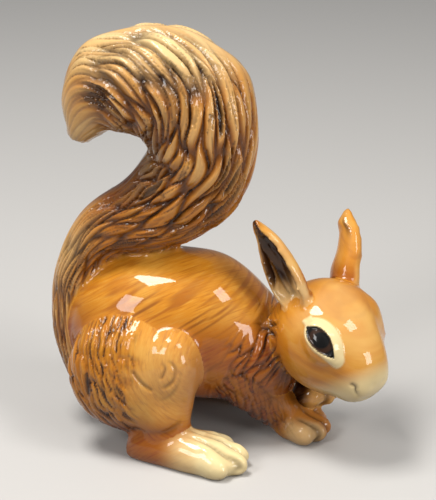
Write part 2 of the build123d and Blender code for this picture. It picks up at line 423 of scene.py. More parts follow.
def evaluated(mesh, kind, **settings):
    """A mesh after one modifier."""
    held = bpy.data.objects.new("clay", mesh)
    bpy.context.scene.collection.objects.link(held)
    modifier = held.modifiers.new(kind, kind)
    for name, value in settings.items():
        setattr(modifier, name, value)
    result = bpy.data.meshes.new_from_object(held.evaluated_get(bpy.context.evaluated_depsgraph_get()))
    bpy.data.objects.remove(held)
    bpy.data.meshes.remove(mesh)
    return result


def keep_outer_skin(mesh):
    """Deletes every island of the mesh but the largest, which is the outside."""
    bm = bmesh.new()
    bm.from_mesh(mesh)
    left = set(bm.verts)
    islands = []
    while left:
        island = [left.pop()]
        for vertex in island:
            for edge in vertex.link_edges:
                other = edge.other_vert(vertex)
                if other in left:
                    left.remove(other)
                    island.append(other)
        islands.append(island)
    islands.sort(key=len)
    for island in islands[:-1]:
        bmesh.ops.delete(bm, geom=island, context="VERTS")
    bm.to_mesh(mesh)
    bm.free()


# How wide the smoothing is at the seams, over the shoulder and over the left temple
SEAM_WIDTH = 2.2
SHOULDER_WIDTH = 5.0
TEMPLE_WIDTH = 11.0


def soft_master(settings):
    """The castings run together into one skin, smoothed at the seams and given a finer net."""
    together, trees = wet_castings(settings.swell)
    mesh = bpy.data.meshes.new("clay")
    together.to_mesh(mesh)
    together.free()
    mesh = evaluated(mesh, "REMESH", mode="VOXEL", voxel_size=settings.grain)
    keep_outer_skin(mesh)
    places = [Vector(place) for place in read(mesh.vertices, "co", 3)]
    reach = np.full((len(places), len(castings)), FAR)
    for column, tree in enumerate(trees):
        for row, place in enumerate(places):
            found = tree.find_nearest(place, FAR * MM)[3]
            if found is not None:
                reach[row, column] = found / MM
    coarse = Clay(mesh, reach)
    coarse.relax(3, 0.5)
    second = np.sort(reach, axis=1)[:, 1]
    coarse.relax(settings.seam_passes, 0.5 * line(second, SEAM_WIDTH))
    shoulder = line(np.maximum(coarse.gap("torso"), coarse.gap("foreleg_right")), SHOULDER_WIDTH)
    haunch = coarse.inside(pair("haunch"), 3.0)
    temple = line(coarse.away(head_point(*MOUND)), TEMPLE_WIDTH)
    coarse.relax(2 * settings.seam_passes, 0.5 * np.maximum.reduce((shoulder, haunch, temple)))
    for column, name in enumerate(castings):
        layer = mesh.attributes.new(name, "FLOAT", "POINT")
        layer.data.foreach_set("value", reach[:, column].astype(np.float32))
    mesh = evaluated(mesh, "SUBSURF", levels=1, render_levels=1)
    reach = np.stack([read(mesh.attributes[name].data, "value", 1)[:, 0] for name in castings], axis=1)
    for name in castings:
        mesh.attributes.remove(mesh.attributes[name])
    return Clay(mesh, reach)


# The brush: its middle line and half its thickness and width, from the root to the tip, in the plane Y = 0
BRUSH_PATH = (
    (-48.4, 13.3, 2.3, 4.4),
    (-52.6, 18.8, 6.0, 10.1),
    (-57.9, 31.2, 7.8, 12.1),
    (-60.0, 51.3, 8.3, 11.4),
    (-55.8, 70.3, 9.0, 11.9),
    (-45.7, 83.8, 11.5, 14.1),
    (-28.8, 91.3, 16.1, 17.6),
    (-16.1, 100.8, 19.6, 20.0),
    (-8.6, 111.3, 20.5, 21.6),
    (-7.0, 122.3, 21.4, 22.0),
    (-10.2, 133.4, 23.0, 22.0),
    (-18.7, 142.3, 23.0, 21.6),
    (-32.0, 144.8, 20.9, 19.6),
    (-42.0, 142.3, 18.2, 16.9),
    (-48.4, 138.2, 15.2, 13.4),
    (-52.6, 130.3, 9.4, 9.5),
    (-55.3, 123.9, 5.1, 5.5),
)
BRUSH_STEPS = 48
# How fast the locks drift outwards, at shares of the brush's length
DRIFT = ((0.0, 0.42, 0.52, 0.66, 0.80, 0.88, 1.0), (0.0, 0.0, 0.18, 0.35, 0.85, 1.0, 0.8))
# The hollow under the tip, on the right side, darkened with painted shade
TIP_HOLLOW = (-46.0, -15.0, 140.5)
# Where the crown of the brush is squarer than a round one
CROWN_CORNERS = ((-50.0, 4.0, 157.0), (8.0, 4.0, 150.0))
# The way the tip points
TIP_HEADING = np.array((-0.2, 0, -0.98))


def brush_line():
    """The brush's middle line in even steps, with its sizes, its direction and its length so far."""
    rows = spline(BRUSH_PATH, BRUSH_STEPS)
    heading = np.gradient(rows[:, :2], axis=0)
    heading /= np.linalg.norm(heading, axis=1)[:, None]
    length = np.concatenate(([0], np.cumsum(np.linalg.norm(np.diff(rows[:, :2], axis=0), axis=1))))
    return rows, heading, length


def brush_place(at):
    """Where points lie on the brush.

    Returns millimetres from the root, the turn round it from its outer side, its half thickness, its length.
    """
    rows, heading, length = brush_line()
    near = np.concatenate(
        [
            (np.linalg.norm(some[:, None, (0, 2)] - rows[None, :, :2], axis=2) - rows[None, :, 2]).argmin(1)
            for some in np.array_split(at, 1 + len(at) // 4000)
        ]
    )
    apart = at[:, (0, 2)] - rows[near, :2]
    along = length[near] + (apart * heading[near]).sum(1)
    outer = apart[:, 0] * heading[near, 1] - apart[:, 1] * heading[near, 0]
    turn = np.arctan2(at[:, 1] / rows[near, 3], outer / rows[near, 2])
    return along, turn, rows[near, 2], length[-1]


def lock_flow(along, turn, length):
    """Which lock a point is on: they run along the brush and drift from its inner side to its outer one."""
    turns = np.linspace(0, pi, 120)
    spread = np.concatenate(([0], np.cumsum(1 / (0.65 + 0.35 * np.sin(turns[1:])) * turns[1])))
    places = np.linspace(0, length, 200)
    drift = np.cumsum(np.interp(places / length, *DRIFT)) * places[1] / 19
    side = np.abs(turn)
    return np.sign(turn) * (np.interp(side, turns, spread) + np.interp(along, places, drift))


def sculpt_brush(clay, settings):
    """Long locks that run up the brush, leave its inner side in the hook and sweep outwards."""
    on = clay.inside(("tail",), 3.0)
    pick = np.nonzero(on > 0)[0]
    on = on[pick]
    at = clay.at[pick]
    along, turn, thick, length = brush_place(at)
    share = along / length
    turn = np.clip(turn + 0.07 * ripple(along / 13, at[:, 1] / 11, 3), -pi, pi)
    wrap = np.abs(turn)
    flow = lock_flow(along, turn, length)
    size = np.clip(thick / 18, 0.35, 1.0)
    fade = smooth(0, 0.3, wrap) * smooth(pi, pi - 0.7, wrap) * (1 - 0.85 * smooth(0.86, 0.95, share))
    bold, stand, lead = strands(flow * 4.0, along / 18 + 0.35 * flow, 11, wander=0.3)
    fine, lift, _ = strands(flow * 9.0, along / 12 + 0.6 * flow, 23, wander=0.25)
    slot = pits(bold, stand) * smooth(0.3, 0.45, share) * smooth(156, 146, at[:, 2])
    lump = ripple(flow * 1.8, along / 11, 31) - 1
    cut = line(bold, 0.2)
    body = smooth(0, 0.45, bold)
    move = body * (0.2 + 0.9 * stand) * (1 - slot) - 0.8 * slot - cut * (0.4 + 0.6 * lift)
    move += 0.45 * lead * body - 0.35 * line(fine, 0.25) * smooth(0.2, 0.7, lift) - 0.25 + 0.6 * lump
    clay.stroke(("tail",), clay.whole(pick, flow * 20), clay.whole(pick, along))
    clay.push(clay.whole(pick, settings.lock_depth / MM * move * size * on * fade))
    groove = np.maximum(cut * (0.6 + 0.4 * lift), slot)
    groove = np.maximum(groove, 0.6 * line(fine, 0.3) * smooth(0.35, 0.75, lift)) * fade
    for name, value in brush_paints(at[:, 2], share, wrap, bold, stand, lift, groove).items():
        clay.brush(name, clay.whole(pick, value * on))
    clay.push(clay.whole(pick, 3.0 * smooth(0.9, 1.0, share) * on), TIP_HEADING)
    for middle in CROWN_CORNERS:
        clay.dent(middle, 12.0, -2.4)
    # Painted shade in the hollow under the tip, on each side
    for side in (-1, 1):
        hollow = clay.dent(np.array(TIP_HOLLOW) * (1, side, 1), 6.0, 2.2)
        clay.brush("shade", 0.65 * hollow)


def brush_paints(height, share, wrap, bold, stand, lift, groove):
    """Tan ridges, dark grooves, russet low down and inside the hook as painted shade, and pale on the crown,
    the tip and the root's rear edge.
    """
    # Painted shade: russet and dark inside the hook, and russet low down on the brush
    inner = smooth(1.7, 2.6, wrap) * smooth(0.33, 0.45, share)
    low = smooth(122, 92, height) * smooth(0.25, 0.36, share)
    crown = smooth(138, 162, height)
    tip = smooth(0.88, 0.97, share)
    rear = smooth(0.42, 0.30, share) * smooth(1.0, 2.4, wrap) * smooth(46, 80, height)
    ridge = smooth(0.1, 0.5, bold)
    # The brush's own russet, deepened by that painted shade
    shade = np.clip(0.15 + 0.45 * inner + 0.45 * low - 0.3 * crown, 0, 1) * (0.5 + 0.5 * lift)
    shade = np.maximum(shade, 0.7 * line(bold, 0.3) * (1 - 0.5 * crown))
    pale = np.maximum.reduce([0.35 * ridge * (1 - low), 0.75 * crown, 0.55 * tip, 0.5 * rear])
    return {
        "groove": np.maximum(groove, 0.6 * inner * smooth(0.8, 0.7, share)),
        "russet": shade * (1 - 0.9 * rear),
        "cream": pale * (0.55 + 0.45 * stand),
    }


# Haunches, seen from the side: the middle that the strokes of fur bend round, and the pale knee
BEND = (2.0, 46.0)
KNEE = (-15.0, 38.0)
# Creases on the right haunch: the folds of the knee and the ledge over the hock, with their widths and depths
KNEE_CREASES = (
    (((-18.4, -38.0, 46.5), (-16.2, -38.3, 42.8), (-17.8, -38.7, 38.0)), 0.65, 0.8),
    (((-15.4, -38.0, 47.0), (-12.2, -38.0, 43.0), (-12.9, -38.6, 38.2), (-18.0, -38.9, 33.6)), 0.7, 0.9),
    (((-9.6, -38.0, 43.0), (-10.6, -38.6, 37.0), (-14.2, -38.4, 31.5), (-19.4, -38.2, 28.0)), 0.8, 0.6),
    (((-29.0, -38.0, 41.5), (-25.6, -38.0, 36.5), (-20.8, -38.0, 32.6)), 0.75, 0.9),
    (((-33.0, -31.0, 13.6), (-25.4, -33.4, 13.4), (-15.8, -37.0, 15.6), (-9.0, -35.8, 19.6)), 1.3, 0.9),
)


def sculpt_haunches(clay, settings):
    """Curved strokes of fur on each haunch's rear, tufted at the upper edge, a smooth folded knee, and
    painted shade low down.
    """
    on = clay.inside(pair("haunch"), 1.6)
    mine = clay.owned(pair("haunch"))
    x, _, z = clay.at.T
    away = np.hypot(x - BEND[0], z - BEND[1])
    turn = np.arctan2(z - BEND[1], BEND[0] - x) * 50
    rough = smooth(-26, -34, x + 3 * ripple(z / 4, away / 5, 5)) * smooth(5, 14, z)
    furry = on * rough
    bold, stand, lead = strands(away / 2.5, turn / 14, 51, wander=0.45)
    fine, lift, _ = strands(away / 1.2, turn / 8, 57, wander=0.3)
    slot = pits(bold, stand)
    move = 0.9 * smooth(0, 0.5, bold) * (stand - 0.3) * (1 - slot) - 0.8 * slot + 0.6 * lead
    move -= line(bold, 0.19) * (0.4 + 0.6 * lift) + 0.25 * line(fine, 0.3)
    clay.push(furry * settings.fur_depth / MM * move)
    clay.stroke(pair("haunch"), away, turn)
    accent = 0.30 * smooth(52, 62, z) + 0.30 * smooth(32, 18, z)
    dark = np.maximum(line(bold, 0.24) * smooth(0.45, 0.85, lift + accent), 0.8 * slot)
    clay.brush("groove", furry * np.maximum(dark, 0.4 * line(fine, 0.25) * lift))
    # The second term here and the next line deepen the russet towards the floor: painted shade on the low
    # haunch and the hock
    clay.brush("russet", mine * rough * (0.4 * line(bold, 0.35) + 0.5 * smooth(34, 14, z) * lift))
    clay.brush("russet", mine * 0.8 * smooth(24, 12, z))
    knee = mine * line(np.hypot(x - KNEE[0], z - KNEE[1]), 17) * (1 - rough) * smooth(12, 22, z)
    clay.brush("cream", 0.18 * knee)
    clay.brush("russet", mine * 0.55 * smooth(-14, -4, x) * smooth(56, 36, z))
    for side in (-1, 1):
        for points, width, depth in KNEE_CREASES:
            path = [(ahead, -side * aside, rise) for ahead, aside, rise in points]
            clay.brush("groove", 0.42 * on * clay.crease(path, width, depth))


# The head's own axes and sizes
HEAD_TURN = radians(40)
HEAD_BOW = radians(22)
NAPE = np.array((26.9, 4.1, 56.3))
HEAD_HALF = np.array((52.0, 22.25, 20.5))
FORWARD = np.array((cos(HEAD_BOW) * cos(HEAD_TURN), -cos(HEAD_BOW) * sin(HEAD_TURN), -sin(HEAD_BOW)))
LEFT = np.array((sin(HEAD_TURN), cos(HEAD_TURN), 0))
CROWN = np.cross(FORWARD, LEFT)
HEAD_AXES = np.stack((FORWARD, LEFT, CROWN))


def head_point(along, across, rise):
    """A point in shares of the head: its length from the nape, its half width and its half height."""
    return NAPE + (np.array((along, across, rise)) * HEAD_HALF) @ HEAD_AXES


def unit(vector):
    return vector / np.linalg.norm(vector)


# The eyes, -1 for the right one: the middle in shares of the head, the way it faces and the lids' height
EYES = {-1: (0.60, -0.73, 0.49), 1: (0.49, 0.90, 0.34)}
EYES_OUT = {-1: (0.30, -0.74, 0.60), 1: (0.08, 0.93, 0.36)}
LID_HEIGHT = {-1: 1.15, 1: 0.4}
# An eye's opening: the way to its front corner, its lean and shift, half its length, its height above and
# below, and where the pupil is
EYE_SLANT = (0.80, 0.20, -0.25)
EYE_LEAN = radians(16)
EYE_SHIFT = (0.6, 0.5)
EYE_HALF = 8.0
EYE_ABOVE = 4.3
EYE_BELOW = 3.1
PUPIL = (-0.4, 0.9)


def almond(place, height):
    """Half of the opening: blunt at the rear corner and drawn out at the front one."""
    share = np.clip(np.abs(place), 0, 1)
    return height * (1 - np.where(place < 0, share**3.2, share**1.7))


def eye_axes(side):
    """The ways that an eye faces, runs to its front corner and rises."""
    outward = unit(np.array(EYES_OUT[side]) @ HEAD_AXES)
    slant = (np.array(EYE_SLANT) * (1, side, 1)) @ HEAD_AXES
    slant = unit(slant - outward * (slant @ outward))
    return outward, slant, np.cross(outward, slant) * -side


def eye_edge(spot):
    """Millimetres to the edge of the opening, less than 0 inside it. It runs on past the rear corner."""
    steps = np.linspace(-1, 1, 60)
    upper = np.stack((EYE_HALF * steps, almond(steps, EYE_ABOVE)), 1)
    lower = np.stack((EYE_HALF * steps, -almond(steps, EYE_BELOW)), 1)
    corner = np.stack((EYE_HALF * np.linspace(-1.3, -1, 8), np.full(8, 0.6)), 1)
    rim = np.vstack((upper, lower, corner))
    edge = np.linalg.norm(spot[:, None] - rim[None], axis=2).min(1)
    place = spot[:, 0] / EYE_HALF
    inside = (spot[:, 1] < almond(place, EYE_ABOVE)) & (spot[:, 1] > -almond(place, EYE_BELOW))
    return np.where(inside & (np.abs(place) < 1), -edge, edge)


def sculpt_eyes(clay):
    """Heavy lids round a dark, slightly sunken eye."""
    for side in EYES:
        middle = head_point(*EYES[side])
        outward, slant, above = eye_axes(side)
        near = smooth(17, 14, clay.away(middle)) * smooth(-0.1, 0.25, clay.out @ outward)
        pick = np.nonzero(near > 0)[0]
        near = near[pick]
        apart = clay.at[pick] - middle
        along, rise = apart @ slant - EYE_SHIFT[0], apart @ above - EYE_SHIFT[1]
        ahead = along * cos(EYE_LEAN) + rise * sin(EYE_LEAN)
        spot = np.stack((ahead, rise * cos(EYE_LEAN) - along * sin(EYE_LEAN)), 1)
        edge = eye_edge(spot)
        top = smooth(-2.5, 1.5, spot[:, 1] + 0.3 * spot[:, 0])
        band = edge / (0.9 + 2.7 * top)
        lid = smooth(1.15, 0.45, band) * smooth(-0.6, 0.1, edge)
        ball = smooth(0.1, -0.9, edge)
        bulge = 1 - ((spot - PUPIL) ** 2).sum(1) / EYE_HALF**2
        amount = near * (LID_HEIGHT[side] * lid * (0.5 + 0.5 * top) - 0.9 * ball + 0.7 * ball * bulge)
        clay.push(clay.whole(pick, amount), outward)
        pale = smooth(1.05, 0.88, band) * top + smooth(1.5, 0.4, band) * (1 - top)
        wide = np.linalg.norm(spot - PUPIL, axis=1)
        ring = smooth(2.9, 3.5, wide) * smooth(5.4, 4.6, wide)
        cream = clay.whole(pick, near * pale)
        dark = clay.whole(pick, near * smooth(0.15, -0.2, edge))
        clay.wipe("russet", cream)
        clay.wipe("groove", cream)
        clay.brush("cream", cream)
        clay.brush("eye", dark)
        clay.brush("iris", clay.whole(pick, near * ring) * dark)


# The mouth's corner and line on the left, the nostril, lips and chin, in shares of the head
MOUTH = (
    (0.905, 0.50, 0.02),
    (0.945, 0.43, 0.0),
    (0.955, 0.38, -0.12),
    (0.965, 0.16, -0.34),
    (0.975, 0.0, -0.36),
)
NOSTRIL = (0.995, 0.13, 0.02)
LIP = (0.95, 0.28, -0.10)
CHIN = (0.87, 0.22, -0.52)
# Where the left side of the skull is flatter and where it is fuller than the casting
MOUND = (0.62, 0.73, 0.46)
BROW = (0.50, 0.52, 0.74)
POLL = (0.30, 0.10, 0.92)


def sculpt_head(clay):
    """A slimmer left cheek, the muzzle, mouth and nose, the eyes and the head's own colours."""
    on = clay.inside(("head",), 1.5)
    along, across, rise = ((clay.at - NAPE) @ HEAD_AXES.T / HEAD_HALF).T
    clay.push(-1.7 * on * smooth(0.1, 0.5, across) * smooth(0.3, 0.55, along), LEFT)
    clay.dent(head_point(*MOUND), 8.5, 2.0)
    clay.dent(head_point(*BROW), 9.0, -2.2)
    clay.dent(head_point(*POLL), 9.0, -1.2)
    clay.stroke(("head", *pair("ear")), 4 * rise, 20 * along)
    for side in (-1, 1):
        mirror = np.array((1, side, 1))
        points = [head_point(*(point * mirror)) for point in MOUTH]
        mark = clay.crease(points, 0.7, 0.9)
        clay.brush("groove", 0.8 * mark * smooth(8, 3, clay.away(points[1])))
        nostril = clay.dent(head_point(*(NOSTRIL * mirror)), 1.3, 0.25)
        clay.brush("russet", 0.35 * nostril)
        clay.dent(head_point(*(LIP * mirror)), 4.0, -0.8)
        clay.dent(head_point(*(CHIN * mirror)), 4.5, -0.7)
    sculpt_eyes(clay)
    clay.brush("cream", 0.2 * on * smooth(0.1, 0.8, rise) * smooth(0.2, 0.4, along) * smooth(0.5, 0, across))
    muzzle = smooth(0.77, 0.98, along - 0.28 * rise) * on
    clay.brush("cream", 0.95 * muzzle)
    jaw = smooth(-0.35, -0.8, rise) * smooth(0.45, 0.8, along) * on
    clay.brush("cream", 0.9 * jaw)
    cheek = on * smooth(0.62, 0.25, along) * smooth(0.45, -0.1, rise)
    clay.brush("russet", 0.6 * cheek)
    bold, stand, _ = strands(rise * 7, along * 6, 71, wander=0.5)
    cut = line(bold, 0.2) * on * smooth(0.36, 0.2, along) * smooth(0.4, 0.0, rise)
    clay.push(-0.7 * cut)
    clay.brush("groove", 0.8 * cut * smooth(0.2, 0.6, stand))


# The ears: where they stand on the head, the ways they point and open, the curl of the tip in millimetres and
# how much cream they have
EARS = {
    "ear_right": ((0.245, -0.605, 0.68), (-0.68, -0.22, 0.70), (0.20, -0.90, 0.15), 2.0, 1.0),
    "ear_left": ((0.26, 0.68, 0.43), (-0.68, 0.38, 0.70), (0.20, 0.90, 0.15), 0.0, 0.3),
}
EAR_LENGTH = 36.0
# Half the width of the scoop, at shares of the ear's length
SCOOP = ((0.0, 0.06, 0.25, 0.45, 0.65, 0.82, 0.94, 1.0), (4.2, 4.7, 5.4, 4.9, 3.5, 1.8, 0.8, 0.3))
# The way across the left ear, from its rear edge, which folds over near the tip
EAR_ACROSS = np.array((0.99, 0.14, 0))


def fold_ear(clay, on, along, axis):
    """Leans the left ear's middle, folds its rear edge over near the tip and blunts the tip."""
    clay.push(on * 1.3 * smooth(0.25, 0.5, along) * smooth(0.95, 0.7, along), EAR_ACROSS)
    rear = on * smooth(0.1, -0.6, clay.out @ EAR_ACROSS)
    clay.push(rear * (0.9 * line(along - 0.15, 0.2) + 1.5 * line(along - 0.80, 0.10)), -EAR_ACROSS)
    clay.push(-1.7 * on * smooth(0.6, 1.0, along), axis)
    inner = smooth(0.1, 0.35, clay.out @ -EAR_ACROSS) * smooth(0.75, 0.5, clay.out @ -EAR_ACROSS)
    clay.brush("groove", 0.75 * on * inner * line(along - 0.74, 0.12) * smooth(0, -0.4, clay.out[:, 1]))


def sculpt_ears(clay):
    """Hair streaks in each ear's hollow, painted shade deep inside it, painted light that makes its foot
    pale, a pale rim and a russet tip.
    """
    for name, (base, axis, mouth, curl, light) in EARS.items():
        on = clay.inside((name,), 0.8)
        axis = unit(np.array(axis) @ HEAD_AXES)
        mouth = np.array(mouth) @ HEAD_AXES
        mouth = unit(mouth - axis * (mouth @ axis))
        aside = np.cross(mouth, axis)
        apart = clay.at - head_point(*base)
        along = apart @ axis / EAR_LENGTH
        across = apart @ aside / np.interp(along, *SCOOP)
        clay.push(on * curl * smooth(0.7, 1.05, along), aside)
        if name == "ear_left":
            fold_ear(clay, on, along, axis)
        facing = smooth(-0.25, 0.3, clay.out @ mouth)
        hollow = on * facing * smooth(1.25, 0.8, np.abs(across)) * smooth(0.02, 0.12, along)
        bold, stand, _ = strands(across * 2.2, along * 2.2, 83, wander=0.6)
        streak = line(bold, 0.22)
        clay.push(light * hollow * (0.4 * smooth(0, 0.4, bold) * stand - 0.4 * streak))
        # Painted shade that deepens into the ear's hollow
        deep = smooth(0.12, 0.42, along + 0.1 * ripple(across * 2, along * 9, 85))
        clay.brush("shade", hollow * deep * (0.55 + 0.45 * smooth(0.75, 0.45, stand)))
        hollow_shade = 0.85 * deep * (1 - 0.55 * smooth(0.7, 0.8, stand))
        clay.brush("groove", hollow * np.maximum(hollow_shade, 0.6 * streak))
        mine = clay.owned((name,))
        # Painted light: the foot of the hollow is paler
        foot = 0.55 * facing * (1 - deep) * smooth(-0.1, 0.1, along)
        back = 0.3 * (1 - facing) * smooth(0.2, 0.6, along)
        rim = 0.32 * facing * smooth(0.9, 1.2, np.abs(across)) * smooth(0.95, 0.7, along)
        clay.brush("cream", mine * light * np.maximum.reduce((foot, back, rim)))
        clay.brush("russet", mine * light * 0.7 * smooth(0.86, 1.0, along))
        clay.brush("russet", mine * 0.8 * (1 - facing) * smooth(0.45, 0.1, along))


# Where slip fills the gap between the raised paw and the one on the ground: place, radius and height
PAW_FILLS = (((31.5, -2.5, 10.4), 4.0, 1.7), ((32.5, -0.5, 14.8), 3.5, 1.5))
# The paws on the plan, with the ways they point, and the gaps between the fingers across them in millimetres
PAWS = {"foreleg_right": ((31.8, -3.4), radians(-14)), "foreleg_left": ((34.8, 9.0), radians(-20))}
FINGER_GAPS = (-4.5, 0.0, 4.5)


def sculpt_paws(clay):
    """Fingers parted by grooves, cream on the near one, painted shade on the raised paw's underside and a
    painted shadow that it casts on the paw below.
    """
    x, y, z = clay.at.T
    for middle, radius, height in PAW_FILLS:
        clay.dent(middle, radius, -height)
    for name, ((ahead, aside), heading) in PAWS.items():
        mine = clay.inside((name,), 0.8)
        along = (x - ahead) * cos(heading) + (y - aside) * sin(heading)
        across = (y - aside) * cos(heading) - (x - ahead) * sin(heading)
        gaps = np.maximum.reduce([line(across - gap * (1 + 0.02 * along), 0.9) for gap in FINGER_GAPS])
        gaps *= mine * smooth(-1, 4, along)
        clay.push(-0.9 * gaps)
        clay.brush("groove", 0.6 * gaps)
        if name == "foreleg_right":
            near = smooth(-2.0, -5.0, across) * smooth(-5, 1, along) * smooth(11, 8, z)
            clay.brush("cream", mine * (0.05 * smooth(-4, 3, along) + 0.4 * near))
            clay.brush("russet", mine * 0.5 * smooth(-12, -8, along))
            # Painted shadow that the raised paw casts on the paw below
            shadow = smooth(4, -2, along) * smooth(-10, -5, along) * smooth(-4, 0, across)
            clay.brush("shade", mine * 0.6 * shadow)
        else:
            # Painted shade on the underside of the raised paw, which is turned down under the chin
            palm_shadow = smooth(7, 2, along) * smooth(-9, -4, along) * smooth(0.4, -0.2, clay.out[:, 1])
            clay.brush("groove", 0.95 * mine * palm_shadow)
            clay.brush("cream", mine * 0.25 * smooth(2, 7, along))


def body_sweep(clay):
    """Where the clay lies across and along the strokes that go over the body and down to the front."""
    x, _, z = clay.at.T
    return 0.5 * x - 0.87 * z, 0.87 * x + 0.5 * z


def sculpt_ruff(clay):
    """Tufts behind the head and down the chest."""
    x, y, z = clay.at.T
    ruff = smooth(9, 3, np.maximum(clay.gap("head"), clay.gap("torso"))) * smooth(66, 54, z)
    chest = clay.inside(("torso",), 1.0) * smooth(0, 12, x) * smooth(54, 44, z) * smooth(24, 32, z)
    ruff = np.maximum(ruff, 0.8 * chest)
    across, along = 0.85 * x - 0.5 * z, 0.5 * x + 0.85 * z + 0.3 * y
    bold, stand, lead = strands(across / 3.4, along / 13, 91, wander=0.5)
    cut = line(bold, 0.2)
    clay.push(ruff * (1.2 * smooth(0, 0.5, bold) * (stand - 0.2) - 0.7 * lead - 0.9 * cut))
    clay.brush("groove", 0.7 * ruff * cut * (0.3 + 0.7 * stand))


def sculpt_foreleg_fur(clay):
    """Short russet fur down the forelegs and between them, and painted shade on the legs."""
    x, y, z = clay.at.T
    near = np.minimum(clay.gap("foreleg_right"), clay.gap("foreleg_left"))
    legs = smooth(3.0, 0.8, near) * smooth(36, 34, z)
    breast = clay.owned(("torso",)) * smooth(34, 22, z) * smooth(-8, 4, x)
    hairy = np.maximum(legs, breast) * smooth(32, 22, x + 0.4 * (z - 12)) * smooth(2, 7, z)
    hairy *= clay.inside(("torso", *pair("foreleg")), 0.5)
    across, along = 0.94 * x + 0.34 * z + 0.6 * y, 0.34 * x - 0.94 * z
    bold, stand, _ = strands(across / 2.2, along / 9, 97, wander=0.5)
    cut = line(bold, 0.2)
    clay.push(hairy * (0.5 * smooth(0, 0.5, bold) * (stand - 0.3) - 0.5 * cut))
    clay.brush("groove", hairy * (0.75 * cut * stand))
    clay.brush("russet", hairy * (0.6 + 0.4 * stand))
    # Painted shade on the forelegs
    clay.brush("shade", 0.35 * hairy * legs)


def paint_body(clay):
    """Russet that is brushed over the chest and the flanks, with dark streaks along the sides."""
    x, _, z = clay.at.T
    body = clay.owned(("torso",))
    across, along = body_sweep(clay)
    wash = 0.5 + 0.5 * ripple(across, along / 11, 101)
    broad = 0.5 + 0.5 * ripple(across / 5, along / 16, 103)
    side = body * smooth(68, 60, z) * smooth(-46, -36, x) * smooth(14, -4, x)
    clay.brush("russet", 0.5 * body * smooth(-6, 14, x) * smooth(50, 32, z))
    clay.brush("russet", body * smooth(64, 46, z) * (0.6 + 0.35 * broad))
    clay.brush("russet", body * 0.6 * smooth(0.3, 0.9, wash) * smooth(78, 62, z))
    clay.brush("shade", 0.45 * side * smooth(0.4, 0.9, wash) * smooth(0.25, 0.7, broad))


def sculpt_coat(clay):
    """The body's strokes, the ruff, the fur of the forelegs, the paws and the body's shading."""
    across, along = body_sweep(clay)
    rest = [name for name in castings if name != "tail" and "haunch" not in name]
    clay.stroke(rest, across + 0.5 * np.abs(clay.at[:, 1]), along)
    sculpt_ruff(clay)
    sculpt_foreleg_fur(clay)
    sculpt_paws(clay)
    paint_body(clay)


# The right hind foot: its heel on the plan, how it splays, its length and half width, and the gaps between
# the toes and their knuckles as shares of those two
HEEL = (-33.3, -26.9)
SPLAY = radians(12)
FOOT_LENGTH = 46.0
FOOT_HALF = 10.5
TOE_GAPS = (-0.62, -0.15, 0.38)
KNUCKLES = ((0.72, -0.80), (0.84, -0.40), (0.88, 0.12), (0.78, 0.64))


def sculpt_feet(clay):
    """Cream toes, parted by grooves, that turn amber over the instep and the heel."""
    x, y, z = clay.at.T
    feet = clay.inside(pair("hind_foot"), 1.0)
    ahead, aside = x - HEEL[0], -np.abs(y) - HEEL[1]
    along = (ahead * cos(SPLAY) - aside * sin(SPLAY)) / FOOT_LENGTH
    across = -(ahead * sin(SPLAY) + aside * cos(SPLAY)) / FOOT_HALF
    spread = 0.75 + 0.4 * smooth(0.6, 0.95, along)
    gaps = np.maximum.reduce([line((across - gap * spread) * FOOT_HALF, 0.9) for gap in TOE_GAPS])
    gaps *= feet * smooth(0.48, 0.7, along) * smooth(1.5, 4, z)
    knuckles = np.zeros(len(x))
    for far, wide in KNUCKLES:
        knuckles += line(np.hypot((along - far) * FOOT_LENGTH, (across - wide) * FOOT_HALF), 2.6)
    clay.push(feet * smooth(4, 7, z) * 0.8 * knuckles - 0.9 * gaps)
    reach = x + 0.22 * (np.abs(y) - 30) + 2.5 * ripple(x / 5, y / 5, 111)
    mine = clay.owned(pair("hind_foot"))
    clay.brush("cream", mine * smooth(-18, 2, reach))
    clay.brush("russet", mine * 0.8 * smooth(-2, -20, reach))
    clay.brush("groove", 0.5 * gaps * smooth(0.6, 0.8, along))
    stain = smooth(0.1, 0.7, ripple(x / 4, y / 3, 113)) * smooth(0.85, 0.6, along)
    stain *= 0.5 * feet * smooth(7, 10, z)
    clay.brush("russet", stain)
    clay.wipe("cream", stain)

def settle(clay):
    """Pools colour in the hollows, sets the soles on the ground and keeps to the castings' box."""
    hollow = clay.blur(((clay.mean() - clay.at) * clay.out).sum(1), 3)
    bare = (1 - clay.paint["eye"]) * (1 - 0.8 * clay.paint["cream"])
    clay.brush("groove", 0.8 * smooth(0.03, 0.11, hollow) * bare)
    low, high = np.array(cad_box) / MM
    clay.at = np.clip(clay.at, low + (0.02, 0.02, 0), high - 0.02)
    clay.refresh()


